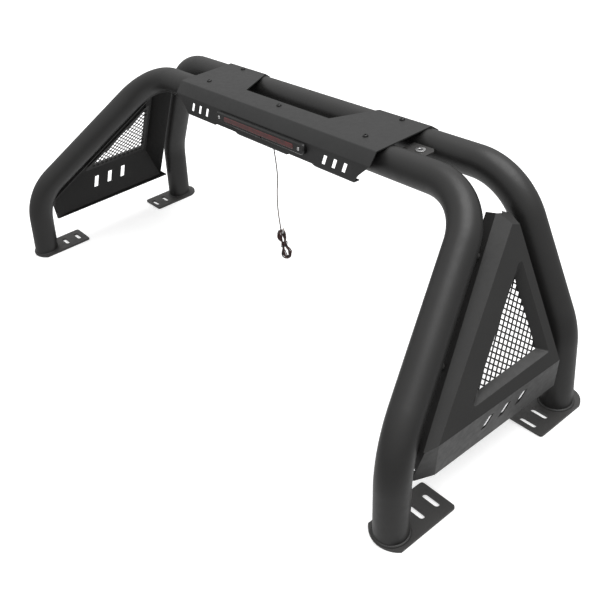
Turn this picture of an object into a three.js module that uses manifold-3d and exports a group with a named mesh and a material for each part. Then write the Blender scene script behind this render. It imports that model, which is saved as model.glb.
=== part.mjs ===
// Twin-hoop headache rack (pickup sport bar) with a folded top cover, brake light and side panels.
// Units are millimetres. +X runs across the truck, +Y towards the cab, +Z up.
import * as THREE from 'three';
import { ConvexGeometry } from 'three/addons/geometries/ConvexGeometry.js';
import { mergeVertices } from 'three/addons/utils/BufferGeometryUtils.js';
import Module from 'manifold-3d';

const wasm = await Module();
wasm.setup();

// ---------------------------------------------------------------- driving dimensions

const GAP = 0.3; // clearance between touching pieces
const SHIFT_Y = 229.6; // moves the middle of the whole outline onto the origin

const TUBE_RADIUS = 38.1; // 3 inch tube
const TUBE_WALL = 2.5;
const TUBE_AXIS_Z = 528.6; // height of the two top tubes
const TUBE_AXIS_Y = 61; // each top tube's offset from the middle between them
const UPPER_BEND = 166;
const LOWER_BEND = 190;
const TUBE_SIDES = 20;
const BORE_SIDES = 10;
const DEGREES_PER_STATION = 7.5;
const FLOOR_CUT = { width: 2200, depth: 200, height: 60 }; // the space that trims the hoops' feet

const PLATE_THICKNESS = 7;
const PLATE_HALF_WIDTH = 48;
const PLATE_CORNER = 8;
const SLOT_LENGTH = 45;
const SLOT_WIDTH = 13;

// Corner points of each hoop's centre line on the +X side, from the foot to the top tube.
const REAR_HOOP = {
  foot: [842, -519, 0],
  knee: [835, -494.5, 205.5],
  shoulder: [665.5, -TUBE_AXIS_Y, TUBE_AXIS_Z],
  plateEnd: -376.5,
  roundEnd: { reach: 40, radius: 63 },
  slots: [-400.5, -445.5],
};
const FRONT_HOOP = {
  foot: [842, 29, 0],
  knee: [828, 41.5, 206],
  shoulder: [666, TUBE_AXIS_Y, TUBE_AXIS_Z],
  plateEnd: -90.5,
  roundEnd: { reach: 60, radius: 50 },
  slots: [-34.5, -75],
};

const SHEET = 3; // cover sheet thickness
const COVER_TOP = TUBE_AXIS_Z + TUBE_RADIUS + GAP + SHEET;
const COVER_HALF_LENGTH = 412;
const COVER_FRONT = -105;
const COVER_BACK = 75.5;
const COVER_FOLD = [-129.6, 540];
const COVER_LOWER = [-134, 485];
const COVER_LIP = 21;
const FACE_CUT = [-160, -100]; // where cuts through the cover's face start and end
const HOLE_CLEARANCE = 0.5;
const BACK_FLANGE = { length: 30, slope: 36 };
const NOTCH = { innerHalf: 175.5, outerHalf: 237.5, innerY: -40 };
const SCALLOP = { from: 98, low: 118, high: 208, to: 227, z: 492 };
const SLITS = { pitch: 36, centre: 291, z: 514, height: 26, width: 13, slant: 11 };
const END_CUT = [[410, 539], [372, 507], [357, 487]]; // how the face narrows towards each end

const COVER_BOLTS = [
  ['rear_left', -330, -TUBE_AXIS_Y],
  ['rear_middle', 0, -TUBE_AXIS_Y],
  ['rear_right', 330, -TUBE_AXIS_Y],
  ['front_left', -330, TUBE_AXIS_Y],
  ['front_right', 330, TUBE_AXIS_Y],
];
const BOLT = { radius: 4, head: 7, height: 4.4, length: 22 };
// The swell's three depths are its start, middle and end.
const INSERT = { body: 5.5, bulge: 7.1, length: 14, swell: [5.4, 7.6, 9] };

// Flat plates bolted across the two top tubes, each with a flanged threaded insert.
const BRIDGE = {
  inner: 404, outer: 476, top: 545, thickness: 5, halfWidth: 24.2, insertX: 447, corner: 10,
};
const BRIDGE_INSERT = { hole: 5.2, body: 8, length: 16, flange: 12.5, height: 2 };

// Side panel, in its own frame: X outward from the main face, Y along the truck, Z up the slope.
const PANEL_ORIGIN = [788.1, 0, 395.8];
const PANEL_TILT = 26.67; // degrees
const PANEL_SHEET = 2.5;
const PANEL_BACK = -66; // open rim
const PANEL_LIP_Z = 97; // height of the lip folded inwards under the flange
const PANEL = {
  topRear: [-46.8, 93.8],
  topFront: [-26.3, 85.4],
  lowFront: [-46.3, -220.8],
  lowRear: [-420, -211],
  rearBevel: [22, 33], // sideways run and drop
  topBevel: [32, 35],
  frontBevel: [32, 69],
  flange: [84, 70],
  sideOffset: [22, 14], // where the rear side stands off the main face's edge, top and bottom
  cornerFacet: [[-66, -449.3, -263.8], [-66, -408, -289.5]],
  heel: [-0.9957, 0.0925, 423], // cut that clears the rear tube's leg
  topTrim: [[-28, -42, 119.6], [-13.3, -8, 104.1], [-62, -45, 128.2]], // the sheet ends at this plane
  closedFrom: -404, // rearwards of this the corner runs down to the lip
  openBelow: 285, // how far down the open back reaches
  cornerOpenBelow: 262, // the same rearwards of closedFrom
};
const BEHIND = 60; // depth of the space cut away behind a panel
const BEHIND_LENGTH = 600;
const BEHIND_HEIGHT = 800;
const PAST_RIM = 22; // how far a panel's full form runs past its open rim
const FLANGE_SLITS = { centre: -213, down: 44, pitch: 53, width: 15, height: 34, slant: 16 };
const WINDOW = {
  sides: [[-0.631, 0.776, 53.2], [0, -1, 190], [0.9978, -0.0659, -55.1]], // outward normal and reach
  bevel: 15,
  depth: 20,
  corner: 6,
  innerCorner: 3,
};
const MESH = {
  thickness: 1.5,
  pitch: 17,
  diamond: 6.3,
  overlap: 13, // how far the sheet reaches past the window's inner outline
  reach: 3.5, // how far past that outline a hole's centre may lie
  edge: 2.5,
  corner: 5,
  firstY: -51.5,
  firstZ: -176,
  rows: 26,
  columns: 18,
};
const STAND_OFF = { radius: 8, bore: 3.3, boreDepth: 12 };
const PANEL_BOLT = { head: 5.8, height: 4.2, shank: 3, clearance: 0.4 };
// Fixings along the rear side wall, by their share of its length from the top.
const PANEL_MOUNTS = [
  { name: 'upper', share: 0.17, depth: -47 },
  { name: 'lower', share: 0.68, depth: -46 },
];

const LIGHT = {
  z: 523, halfLength: 192, height: 29, depth: 10, screwX: 173, lensHalf: 152, lensHeight: 14.2,
};
const GASKET = 1.5;
const SCREW_HOLE = 2.8;
const SCREW = { shank: 2.5, head: 4.6, length: 20, height: 2.7 };
const GLAND = {
  neck: 5.2, barb: 7.6, stem: 3.6, tip: 2.8, tail: 6, proud: 1.7, hole: 5.9, barbEnd: 1.8, stemTop: 2.6,
};
const GLAND_X = 16;
const GLAND_Z = 512;

const CORD_RADIUS = 1.6;
const LEAD_STEPS = 44;

// The drop of the lead from the gland to the hank, placed by hand.
const LEAD_ROUTE = [
  [16, -121.9, 511.2], [16.2, -116, 509.6], [16.8, -111.2, 505], [17.4, -109.2, 498],
  [18.2, -108.6, 485], [19.2, -108.4, 466], [20.2, -108.2, 438], [19.8, -108, 410],
  [17.6, -107.8, 384], [12.4, -107.6, 362], [6.6, -107.2, 341], [1.6, -106.7, 315],
  [-2.7, -106, 286], [-4.9, -105, 253], [-6.1, -103.6, 230], [-7, -102.6, 217.4],
];

// The rest of the lead, wound into upright loops that are tied at the waist.
const HANK = { half: 47, upperLobe: 11.8, lowerLobe: 13.2, waist: 5 };
const HANK_CENTRE = [3, -104.2, 167.8];
const HANK_TURN = 50; // degrees about the vertical
const HANK_LEAN = -7.6; // degrees out of the vertical
const HANK_SKIN = CORD_RADIUS + 0.2;
const HANK_HALF_DEPTH = 10.6;
const TIE = { innerX: 7.6, wall: 1.3, height: 4 };
const SLEEVE = { x: 10.9, y: -8.75, z: 47, radius: 2.4, length: 7, tipRadius: 1.3, tip: 3.5 };

// ---------------------------------------------------------------- materials

function material(color, roughness, metalness) {
  return new THREE.MeshStandardMaterial({ color, roughness, metalness });
}
const PAINT = [0x303133, 0.55, 0.3];
const PLATE_PAINT = [0x2c2c2c, 0.6, 0.3];
const ZINC = [0xb9bcc0, 0.35, 0.9];
const BLACK_STEEL = [0x232426, 0.45, 0.7];
const BLACK_PLASTIC = [0x17181a, 0.3, 0.0];
const RED_LENS = [0x8d1210, 0.2, 0.0];
const BOARD = [0x2d5a34, 0.6, 0.0];
const RUBBER = [0x1b1b1c, 0.85, 0.0];
const WIRE = [0x3a2323, 0.5, 0.0];
const WHITE_NYLON = [0xe6e4de, 0.5, 0.0];

// ---------------------------------------------------------------- small helpers

const rack = new THREE.Group();
rack.position.set(0, SHIFT_Y, 0);

function add(name, geometry, look, parent = rack) {
  const mesh = new THREE.Mesh(geometry, material(...look));
  mesh.name = name;
  parent.add(mesh);
  return mesh;
}

function welded(geometry) {
  const bare = geometry.clone();
  bare.deleteAttribute('normal');
  bare.deleteAttribute('uv');
  return mergeVertices(bare, 1e-4);
}

function solid(geometry) {
  const merged = welded(geometry);
  return new wasm.Manifold(new wasm.Mesh({
    numProp: 3,
    vertProperties: new Float32Array(merged.attributes.position.array),
    triVerts: new Uint32Array(merged.index.array),
  }));
}

function geometryOf(manifold) {
  const mesh = manifold.getMesh();
  const geometry = new THREE.BufferGeometry();
  geometry.setAttribute('position', new THREE.BufferAttribute(new Float32Array(mesh.vertProperties), 3));
  geometry.setIndex(new THREE.BufferAttribute(new Uint32Array(mesh.triVerts), 1));
  geometry.computeVertexNormals();
  return geometry;
}

function mirroredX(geometry) {
  const flipped = welded(geometry);
  flipped.scale(-1, 1, 1);
  const index = flipped.index.array;
  for (let i = 0; i < index.length; i += 3) {
    const first = index[i];
    index[i] = index[i + 1];
    index[i + 1] = first;
  }
  flipped.computeVertexNormals();
  return flipped;
}

function shapeOf(points) {
  return new THREE.Shape(points.map(([x, y]) => new THREE.Vector2(x, y)));
}

function extrude(shape, depth, options = {}) {
  return new THREE.ExtrudeGeometry(shape, { depth, bevelEnabled: false, curveSegments: 8, ...options });
}

// Profile drawn as [y, z], extruded along X and centred on it.
function alongX(points, halfLength) {
  const geometry = extrude(shapeOf(points), halfLength * 2);
  geometry.rotateX(Math.PI / 2);
  geometry.rotateZ(Math.PI / 2);
  geometry.translate(-halfLength, 0, 0);
  return geometry;
}

// Outline drawn as [x, z], extruded along Y from y0 to y1.
function alongY(points, y0, y1) {
  const geometry = extrude(shapeOf(points), y1 - y0);
  geometry.rotateX(Math.PI / 2);
  geometry.translate(0, y1, 0);
  return geometry;
}

function lathe(profile, segments = 20) {
  const points = profile.map(([r, z]) => new THREE.Vector2(r, z));
  const geometry = new THREE.LatheGeometry(points, segments);
  geometry.rotateX(Math.PI / 2);
  return geometry;
}

function box(sizeX, sizeY, sizeZ, x, y, z) {
  return new THREE.BoxGeometry(sizeX, sizeY, sizeZ).translate(x, y, z);
}

function drill(radius, length, x, y, z, segments = 14) {
  const geometry = new THREE.CylinderGeometry(radius, radius, length, segments);
  geometry.rotateX(Math.PI / 2);
  return geometry.translate(x, y, z);
}

function obround(length, width) {
  const shape = new THREE.Shape();
  const half = length / 2 - width / 2;
  shape.moveTo(-half, -width / 2);
  shape.lineTo(half, -width / 2);
  shape.absarc(half, 0, width / 2, -Math.PI / 2, Math.PI / 2, false);
  shape.lineTo(-half, width / 2);
  shape.absarc(-half, 0, width / 2, Math.PI / 2, (3 * Math.PI) / 2, false);
  return shape;
}

// Closed or open outline with its corners rounded by arcs.
function filleted(points, radius, steps, closed) {
  const count = points.length;
  const result = [];
  for (let i = 0; i < count; i += 1) {
    const corner = new THREE.Vector2(...points[i]);
    if (!closed && (i === 0 || i === count - 1)) {
      result.push([corner.x, corner.y]);
      continue;
    }
    const before = new THREE.Vector2(...points[(i + count - 1) % count]).sub(corner).normalize();
    const after = new THREE.Vector2(...points[(i + 1) % count]).sub(corner).normalize();
    const halfAngle = Math.acos(THREE.MathUtils.clamp(before.dot(after), -1, 1)) / 2;
    const toCentre = before.clone().add(after).normalize().multiplyScalar(radius / Math.sin(halfAngle));
    const centre = toCentre.add(corner);
    const start = before.clone().multiplyScalar(radius / Math.tan(halfAngle)).add(corner).sub(centre);
    const end = after.clone().multiplyScalar(radius / Math.tan(halfAngle)).add(corner).sub(centre);
    const sweep = Math.atan2(start.cross(end), start.dot(end));
    for (let k = 0; k <= steps; k += 1) {
      const spoke = start.clone().rotateAround(new THREE.Vector2(), (sweep * k) / steps).add(centre);
      result.push([spoke.x, spoke.y]);
    }
  }
  return result;
}

// Open polyline moved to its left by a distance, with mitred corners.
function offsetLeft(points, distance) {
  const normals = points.slice(1).map(([x, y], i) => {
    const run = new THREE.Vector2(x - points[i][0], y - points[i][1]).normalize();
    return new THREE.Vector2(-run.y, run.x);
  });
  return points.map(([x, y], i) => {
    const first = normals[Math.max(i - 1, 0)];
    const second = normals[Math.min(i, normals.length - 1)];
    const mitre = first.clone().add(second);
    mitre.multiplyScalar(distance / (1 + first.dot(second)));
    return [x + mitre.x, y + mitre.y];
  });
}

// Cross-section of a folded sheet: the outer corners, a thickness to their left and a bend radius.
function foldedSection(outer, thickness, innerRadius, steps = 3) {
  const outside = filleted(outer, innerRadius + thickness, steps, false);
  const inside = filleted(offsetLeft(outer, thickness), innerRadius, steps, false);
  return [...outside, ...inside.reverse()];
}

// Convex body bounded by planes [nx, ny, nz, d], each keeping the side where n.p <= d.
function convexFromPlanes(planes) {
  const units = planes.map(([x, y, z, d]) => {
    const normal = new THREE.Vector3(x, y, z);
    const size = normal.length();
    return { normal: normal.divideScalar(size), d: d / size };
  });
  const corners = [];
  for (let i = 0; i < units.length; i += 1) {
    for (let j = i + 1; j < units.length; j += 1) {
      for (let k = j + 1; k < units.length; k += 1) {
        const [a, b, c] = [units[i], units[j], units[k]];
        const cross = b.normal.clone().cross(c.normal);
        const spread = a.normal.dot(cross);
        if (Math.abs(spread) < 1e-6) continue;
        const point = cross.multiplyScalar(a.d);
        point.add(c.normal.clone().cross(a.normal).multiplyScalar(b.d));
        point.add(a.normal.clone().cross(b.normal).multiplyScalar(c.d));
        point.divideScalar(spread);
        const kept = units.every((plane) => plane.normal.dot(point) <= plane.d + 1e-5);
        const fresh = corners.every((corner) => corner.distanceTo(point) > 1e-3);
        if (kept && fresh) corners.push(point);
      }
    }
  }
  return new ConvexGeometry(corners);
}

// ---------------------------------------------------------------- hoops

// Centre line made of straight runs and true arcs, sampled at stations that crowd into the bends.
class BentTubePath extends THREE.Curve {
  constructor(corners, radii, degreesPerStation) {
    super();
    this.stations = [];
    this.tangents = [];
    const last = corners.length - 1;
    for (let i = 0; i <= last; i += 1) {
      const corner = corners[i];
      if (i === 0 || i === last) {
        const start = i === 0 ? 0 : last - 1;
        const run = corners[start + 1].clone().sub(corners[start]).normalize();
        this.stations.push(corner.clone());
        this.tangents.push(run);
        continue;
      }
      const before = corners[i - 1].clone().sub(corner).normalize();
      const after = corners[i + 1].clone().sub(corner).normalize();
      const sweep = Math.PI - before.angleTo(after);
      const radius = radii[i - 1];
      const reach = radius * Math.tan(sweep / 2);
      const side = before.clone().add(after).normalize();
      const centre = corner.clone().addScaledVector(side, radius / Math.cos(sweep / 2));
      const spoke = corner.clone().addScaledVector(before, reach).sub(centre);
      const axis = before.clone().negate().cross(after).normalize();
      const count = Math.ceil(THREE.MathUtils.radToDeg(sweep) / degreesPerStation);
      for (let k = 0; k <= count; k += 1) {
        const angle = (sweep * k) / count;
        this.stations.push(spoke.clone().applyAxisAngle(axis, angle).add(centre));
        this.tangents.push(before.clone().negate().applyAxisAngle(axis, angle));
      }
    }
    this.steps = this.stations.length - 1;
  }

  getPoint(t, target = new THREE.Vector3()) {
    const place = THREE.MathUtils.clamp(t, 0, 1) * this.steps;
    const index = Math.min(Math.floor(place + 1e-6), this.steps);
    const next = Math.min(index + 1, this.steps);
    return target.copy(this.stations[index]).lerp(this.stations[next], Math.max(place - index, 0));
  }

  getPointAt(u, target) {
    return this.getPoint(u, target);
  }

  getTangentAt(u, target = new THREE.Vector3()) {
    const index = Math.round(THREE.MathUtils.clamp(u, 0, 1) * this.steps);
    return target.copy(this.tangents[index]);
  }
}

function circleShape(radius, divisions) {
  const points = [];
  for (let i = 0; i < divisions; i += 1) {
    const angle = (2 * Math.PI * i) / divisions;
    points.push([radius * Math.cos(angle), radius * Math.sin(angle)]);
  }
  return points;
}

function hoopCorners(hoop) {
  const half = [hoop.foot, hoop.knee, hoop.shoulder].map((point) => new THREE.Vector3(...point));
  const run = half[0].clone().sub(half[1]).normalize();
  half[0].addScaledVector(run, PLATE_THICKNESS * 3);
  const other = half.map((point) => new THREE.Vector3(-point.x, point.y, point.z));
  return [...half, ...other.reverse()];
}

function hoopTube(hoop, boltHoles) {
  const radii = [LOWER_BEND, UPPER_BEND, UPPER_BEND, LOWER_BEND];
  const path = new BentTubePath(hoopCorners(hoop), radii, DEGREES_PER_STATION);
  const section = shapeOf(circleShape(TUBE_RADIUS, TUBE_SIDES));
  section.holes.push(new THREE.Path(shapeOf(circleShape(TUBE_RADIUS - TUBE_WALL, BORE_SIDES)).getPoints()));
  const geometry = new THREE.ExtrudeGeometry(section, { steps: path.steps, extrudePath: path });
  let tube = solid(geometry);
  const { width, depth, height } = FLOOR_CUT;
  const floor = box(width, depth, height, 0, hoop.foot[1], PLATE_THICKNESS + GAP - height / 2);
  tube = tube.subtract(solid(floor));
  for (const [x, y] of boltHoles) {
    tube = tube.subtract(solid(drill(INSERT.body + GAP, 20, x, y, TUBE_AXIS_Z + TUBE_RADIUS)));
  }
  return geometryOf(tube);
}

function boltHolesOn(side) {
  return COVER_BOLTS.filter(([, , y]) => Math.sign(y) === side).map(([, x, y]) => [x, y]);
}

add('rear_hoop', hoopTube(REAR_HOOP, boltHolesOn(-1)), PAINT);
add('front_hoop', hoopTube(FRONT_HOOP, boltHolesOn(1)), PAINT);

// ---------------------------------------------------------------- foot plates

// Plate under one foot: square at one end, rounded by an arc at the other.
function footPlate(hoop) {
  const shape = new THREE.Shape();
  const half = PLATE_HALF_WIDTH;
  const end = hoop.plateEnd;
  const inward = Math.sign(end - hoop.foot[1]);
  const { reach, radius } = hoop.roundEnd;
  const arcCentre = hoop.foot[1] - inward * (reach - radius);
  const spread = Math.asin(half / radius);
  shape.moveTo(half, end - inward * PLATE_CORNER);
  shape.quadraticCurveTo(half, end, half - PLATE_CORNER, end);
  shape.lineTo(PLATE_CORNER - half, end);
  shape.quadraticCurveTo(-half, end, -half, end - inward * PLATE_CORNER);
  const arcSteps = 12;
  for (let i = 0; i <= arcSteps; i += 1) {
    const angle = spread * ((2 * i) / arcSteps - 1);
    shape.lineTo(radius * Math.sin(angle), arcCentre - inward * radius * Math.cos(angle));
  }
  for (const slotY of hoop.slots) {
    const slot = obround(SLOT_LENGTH, SLOT_WIDTH).getPoints(5);
    shape.holes.push(new THREE.Path(slot.map((p) => new THREE.Vector2(p.x, p.y + slotY))));
  }
  return extrude(shape, PLATE_THICKNESS, { curveSegments: 4 });
}

for (const [end, hoop] of [['rear', REAR_HOOP], ['front', FRONT_HOOP]]) {
  for (const [side, sign] of [['left', -1], ['right', 1]]) {
    const plate = add(`${end}_foot_plate_${side}`, footPlate(hoop), PLATE_PAINT);
    plate.position.x = sign * hoop.foot[0];
  }
}

// ---------------------------------------------------------------- top cover

const faceSlope = Math.atan2(COVER_FOLD[0] - COVER_LOWER[0], COVER_FOLD[1] - COVER_LOWER[1]);
function faceY(z) {
  return COVER_FOLD[0] - (COVER_FOLD[1] - z) * Math.tan(faceSlope);
}

function trapezoid(nearHalf, nearY, farHalf, farY) {
  return [[-nearHalf, nearY], [nearHalf, nearY], [farHalf, farY], [-farHalf, farY]];
}

// Upright bar whose top leans over by a slant.
function leaningBar(x, z, width, height, slant) {
  return [
    [x - (width + slant) / 2, z - height / 2], [x + (width - slant) / 2, z - height / 2],
    [x + (width + slant) / 2, z + height / 2], [x - (width - slant) / 2, z + height / 2],
  ];
}

function coverSheet() {
  const slope = THREE.MathUtils.degToRad(BACK_FLANGE.slope);
  const outer = [
    [COVER_BACK + BACK_FLANGE.length * Math.cos(slope), COVER_TOP - BACK_FLANGE.length * Math.sin(slope)],
    [COVER_BACK, COVER_TOP],
    [COVER_FRONT, COVER_TOP],
    COVER_FOLD,
    COVER_LOWER,
    [COVER_LOWER[0] + COVER_LIP, COVER_LOWER[1] - 1],
  ];
  let sheet = solid(alongX(foldedSection(outer, SHEET, 2.5), COVER_HALF_LENGTH));
  const { innerHalf, outerHalf, innerY } = NOTCH;
  const spread = (outerHalf - innerHalf) / (COVER_BACK - innerY);
  const reach = 50;
  const notch = trapezoid(innerHalf, innerY, outerHalf + spread * reach, COVER_BACK + reach);
  sheet = sheet.subtract(solid(extrude(shapeOf(notch), 80).translate(0, 0, COVER_TOP - 60)));
  const below = COVER_LOWER[1] - 20;
  const faceHole = SCREW_HOLE + HOLE_CLEARANCE;
  for (const side of [-1, 1]) {
    const scallop = [
      [SCALLOP.from, below], [SCALLOP.to, below], [SCALLOP.to, COVER_LOWER[1] - 2],
      [SCALLOP.high, SCALLOP.z], [SCALLOP.low, SCALLOP.z], [SCALLOP.from, COVER_LOWER[1] - 2],
    ].map(([x, z]) => [side * x, z]);
    sheet = sheet.subtract(solid(alongY(scallop, ...FACE_CUT)));
    const corner = [
      [COVER_HALF_LENGTH + 2, END_CUT[0][1]],
      ...END_CUT,
      [END_CUT[2][0], below],
      [COVER_HALF_LENGTH + 2, below],
    ].map(([x, z]) => [side * x, z]);
    sheet = sheet.subtract(solid(alongY(corner, ...FACE_CUT)));
    for (const step of [-1, 0, 1]) {
      const x = side * SLITS.centre + step * SLITS.pitch;
      const slit = leaningBar(x, SLITS.z, SLITS.width, SLITS.height, SLITS.slant);
      sheet = sheet.subtract(solid(alongY(slit, ...FACE_CUT)));
    }
    const screwHole = new THREE.CylinderGeometry(faceHole, faceHole, 30, 12);
    screwHole.translate(side * LIGHT.screwX, faceY(LIGHT.z), LIGHT.z);
    sheet = sheet.subtract(solid(screwHole));
  }
  for (const [, x, y] of COVER_BOLTS) {
    sheet = sheet.subtract(solid(drill(BOLT.radius + HOLE_CLEARANCE, 20, x, y, COVER_TOP)));
  }
  const glandHole = new THREE.CylinderGeometry(GLAND.hole, GLAND.hole, 40, 16);
  sheet = sheet.subtract(solid(glandHole.translate(GLAND_X, faceY(GLAND_Z), GLAND_Z)));
  return geometryOf(sheet);
}

add('top_cover', coverSheet(), PAINT);

// ---------------------------------------------------------------- bolts and threaded inserts

// Button-head bolt standing on z = 0 with its shank below and a hexagon socket in its head.
function buttonBolt({ radius, head, height, length }) {
  const profile = [
    [0, -length], [radius, -length], [radius, 0], [head, 0], [head, height * 0.3],
    [head * 0.87, height * 0.72], [head * 0.6, height], [0, height],
  ];
  const socket = new THREE.CylinderGeometry(radius * 0.68, radius * 0.68, height, 6);
  socket.rotateX(Math.PI / 2).translate(0, 0, height);
  return geometryOf(solid(lathe(profile, 14)).subtract(solid(socket)));
}

// Threaded insert swelled under the tube wall; its mouth is at z = 0.
function threadedInsert({ body, bulge, length, swell }) {
  const hole = BOLT.radius + GAP;
  const [start, middle, end] = swell;
  return lathe([
    [hole, -length], [body, -length], [body, -end], [bulge, -middle], [body, -start], [body, 0],
    [hole, 0], [hole, -length],
  ], 14);
}

for (const [name, x, y] of COVER_BOLTS) {
  const bolt = add(`cover_bolt_${name}`, buttonBolt(BOLT), BLACK_STEEL);
  bolt.position.set(x, y, COVER_TOP + GAP);
  const insert = add(`cover_insert_${name}`, threadedInsert(INSERT), ZINC);
  insert.position.set(x, y, TUBE_AXIS_Z + TUBE_RADIUS - GAP);
}

// ---------------------------------------------------------------- bridge plates between the top tubes

function bridgePlate(sign) {
  const length = BRIDGE.outer - BRIDGE.inner;
  const half = BRIDGE.halfWidth;
  const outline = [
    [0, -half], [length - BRIDGE.corner, -half], [length, -half + BRIDGE.corner],
    [length, half - BRIDGE.corner], [length - BRIDGE.corner, half], [0, half],
  ].map(([x, y]) => [sign * (BRIDGE.inner + x), y]);
  const slab = extrude(shapeOf(outline), BRIDGE.thickness);
  const plate = solid(slab.translate(0, 0, BRIDGE.top - BRIDGE.thickness));
  const hole = drill(BRIDGE_INSERT.body + 2 * GAP, 30, sign * BRIDGE.insertX, 0, BRIDGE.top, 16);
  return geometryOf(plate.subtract(solid(hole)));
}

for (const [side, sign] of [['left', -1], ['right', 1]]) {
  add(`bridge_plate_${side}`, bridgePlate(sign), PLATE_PAINT);
  const { hole, body, length, flange, height } = BRIDGE_INSERT;
  const insert = add(`bridge_insert_${side}`, lathe([
    [hole, -length], [body, -length], [body, 0], [flange, 0],
    [flange, height], [hole, height], [hole, -length],
  ], 20), ZINC);
  insert.position.set(sign * BRIDGE.insertX, 0, BRIDGE.top + GAP);
}

// ---------------------------------------------------------------- side panels

// Outward normal of a main-face edge, for edges taken counter-clockwise.
function edgeNormal(from, to) {
  const run = new THREE.Vector2(to[0] - from[0], to[1] - from[1]).normalize();
  return new THREE.Vector2(run.y, -run.x);
}

// Plane through an edge of the main face; it spreads outward by run over a drop.
function edgePlane(from, to, run = 0, drop = 1) {
  const normal = edgeNormal(from, to);
  return [run / drop, normal.x, normal.y, normal.dot(new THREE.Vector2(...from))];
}

function planeThrough(a, b, c) {
  const normal = b.clone().sub(a).cross(c.clone().sub(a)).normalize();
  return [normal.x, normal.y, normal.z, normal.dot(a)];
}

function movedIn(plane, distance) {
  const size = Math.hypot(plane[0], plane[1], plane[2]);
  return [plane[0], plane[1], plane[2], plane[3] - distance * size];
}

// The rear side wall's line, from its top to its bottom.
function rearSide() {
  const { topRear, lowRear, sideOffset } = PANEL;
  const normal = edgeNormal(topRear, lowRear);
  return [[topRear, sideOffset[0]], [lowRear, sideOffset[1]]]
    .map(([[y, z], offset]) => [y + normal.x * offset, z + normal.y * offset]);
}

function panelPlanes() {
  const { topRear, topFront, lowFront, lowRear, cornerFacet, heel } = PANEL;
  const corner = new THREE.Vector3(0, ...lowRear);
  const tilt = THREE.MathUtils.degToRad(PANEL_TILT);
  return [
    [1, 0, 0, 0],
    edgePlane(topRear, lowRear, ...PANEL.rearBevel),
    edgePlane(...rearSide()),
    edgePlane(topFront, topRear, ...PANEL.topBevel),
    edgePlane(lowFront, topFront, ...PANEL.frontBevel),
    edgePlane(lowRear, lowFront, ...PANEL.flange),
    planeThrough(corner, ...cornerFacet.map((point) => new THREE.Vector3(...point))),
    [0, ...heel],
    [-Math.sin(tilt), 0, -Math.cos(tilt), PANEL_ORIGIN[2] - PANEL_LIP_Z],
  ];
}

// Folded tray: everything between the outer planes and the same planes moved in, open at the back.
function panelShell() {
  const planes = panelPlanes();
  const outer = solid(convexFromPlanes([...planes, [-1, 0, 0, PAST_RIM - PANEL_BACK]]));
  const innerPlanes = planes.map((plane) => movedIn(plane, PANEL_SHEET));
  const inner = solid(convexFromPlanes([...innerPlanes, [-1, 0, 0, BEHIND - PANEL_BACK]]));
  let shell = outer.subtract(inner);
  for (const [side, below] of [[1, PANEL.openBelow], [-1, PANEL.cornerOpenBelow]]) {
    const y = PANEL.closedFrom + side * (BEHIND_LENGTH / 2);
    const z = BEHIND_HEIGHT / 2 - below;
    const behind = box(BEHIND, BEHIND_LENGTH, BEHIND_HEIGHT, PANEL_BACK - BEHIND / 2, y, z);
    shell = shell.subtract(solid(behind));
  }
  const trim = PANEL.topTrim.map((point) => new THREE.Vector3(...point));
  const [trimX, trimY, trimZ, reach] = planeThrough(...trim);
  shell = shell.trimByPlane([-trimX, -trimY, -trimZ], -reach);
  shell = shell.add(outer.intersect(windowBody(PANEL_SHEET)));
  shell = shell.subtract(windowBody(0));
  for (const step of [-1, 0, 1]) shell = shell.subtract(flangeSlit(step));
  for (const mount of panelMounts()) shell = shell.subtract(mount.hole);
  return shell;
}

// Outline of the triangular window moved out by a distance, its corners rounded.
function windowOutline(spread, corner) {
  const lines = WINDOW.sides.map(([y, z, reach]) => [y, z, reach + spread]);
  const meet = ([a, b, c], [d, e, f]) => {
    const det = a * e - b * d;
    return [(c * e - b * f) / det, (a * f - c * d) / det];
  };
  const triangle = lines.map((line, i) => meet(line, lines[(i + 1) % lines.length]));
  return filleted(triangle, corner, 4, true);
}

// The space inside the window's sloping border, grown by a wall thickness.
function windowBody(wall) {
  const { bevel, depth, corner, innerCorner } = WINDOW;
  const faceX = wall > 0 ? 0 : 0.01;
  const front = windowOutline(wall, corner + wall).map(([y, z]) => new THREE.Vector3(faceX, y, z));
  const back = windowOutline(wall - bevel, innerCorner).map(([y, z]) => new THREE.Vector3(-depth, y, z));
  const body = solid(new ConvexGeometry([...front, ...back]));
  if (wall > 0) return body;
  const past = back.map((point) => new THREE.Vector3(point.x - 1, point.y, point.z));
  return body.add(solid(new ConvexGeometry([...back, ...past])));
}

// One slanted slit through the panel's lower flange.
function flangeSlit(step) {
  const { centre, down, pitch, width, height, slant } = FLANGE_SLITS;
  const [run, drop] = PANEL.flange;
  const slope = new THREE.Vector3(-drop, 0, -run).normalize();
  const along = new THREE.Vector3(0, 1, 0);
  const outline = leaningBar(0, 0, width, height, -slant);
  const geometry = extrude(shapeOf(outline), 16).translate(0, 0, -8);
  const frame = new THREE.Matrix4().makeBasis(along, slope, along.clone().cross(slope));
  const edgeZ = (PANEL.lowRear[1] + PANEL.lowFront[1]) / 2;
  frame.setPosition(slope.x * down, centre + step * pitch, edgeZ + slope.z * down);
  return solid(geometry.applyMatrix4(frame));
}

function toPanelFrame(point) {
  const local = new THREE.Vector3(...point).sub(new THREE.Vector3(...PANEL_ORIGIN));
  return local.applyAxisAngle(new THREE.Vector3(0, 1, 0), THREE.MathUtils.degToRad(PANEL_TILT));
}

// The straight leg of the rear hoop, beside the panel's rear side wall.
function rearLeg() {
  const low = toPanelFrame(REAR_HOOP.knee);
  return { low, axis: toPanelFrame(REAR_HOOP.shoulder).sub(low).normalize() };
}

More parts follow.
